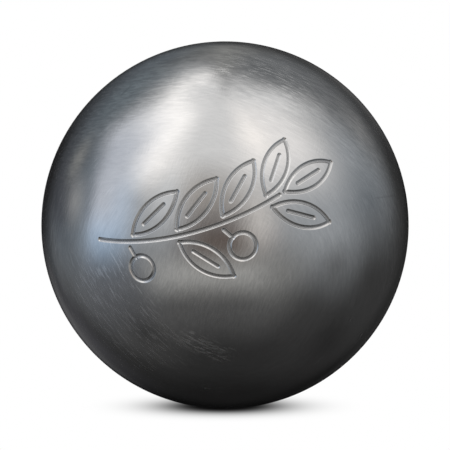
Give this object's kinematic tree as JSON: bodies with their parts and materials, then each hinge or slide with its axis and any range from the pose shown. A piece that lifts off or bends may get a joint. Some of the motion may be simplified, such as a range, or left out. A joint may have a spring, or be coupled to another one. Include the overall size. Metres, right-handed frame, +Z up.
{
  "type": "petanque boule",
  "caption": "Hollow steel ball for throwing in petanque, welded from half-shells round its middle and ground smooth, with a satin finish and an engraved olive sprig.",
  "frame": {"origin": "centre of the ball", "axes": "+Z up, +Y along the turning axis from the engraved half-shell to the rear one, so the engraving faces -Y and the weld lies in the XZ plane"},
  "size_m": [0.073, 0.073, 0.073],
  "materials": {
    "satin_steel": "satin, brushed round the turning axis",
    "weld_steel": "ground flush and satin, like the shells"
  },
  "bodies": {
    "root": {"front_shell": "satin_steel", "rear_shell": "satin_steel", "weld_bead": "weld_steel"}
  },
  "joints": []
}
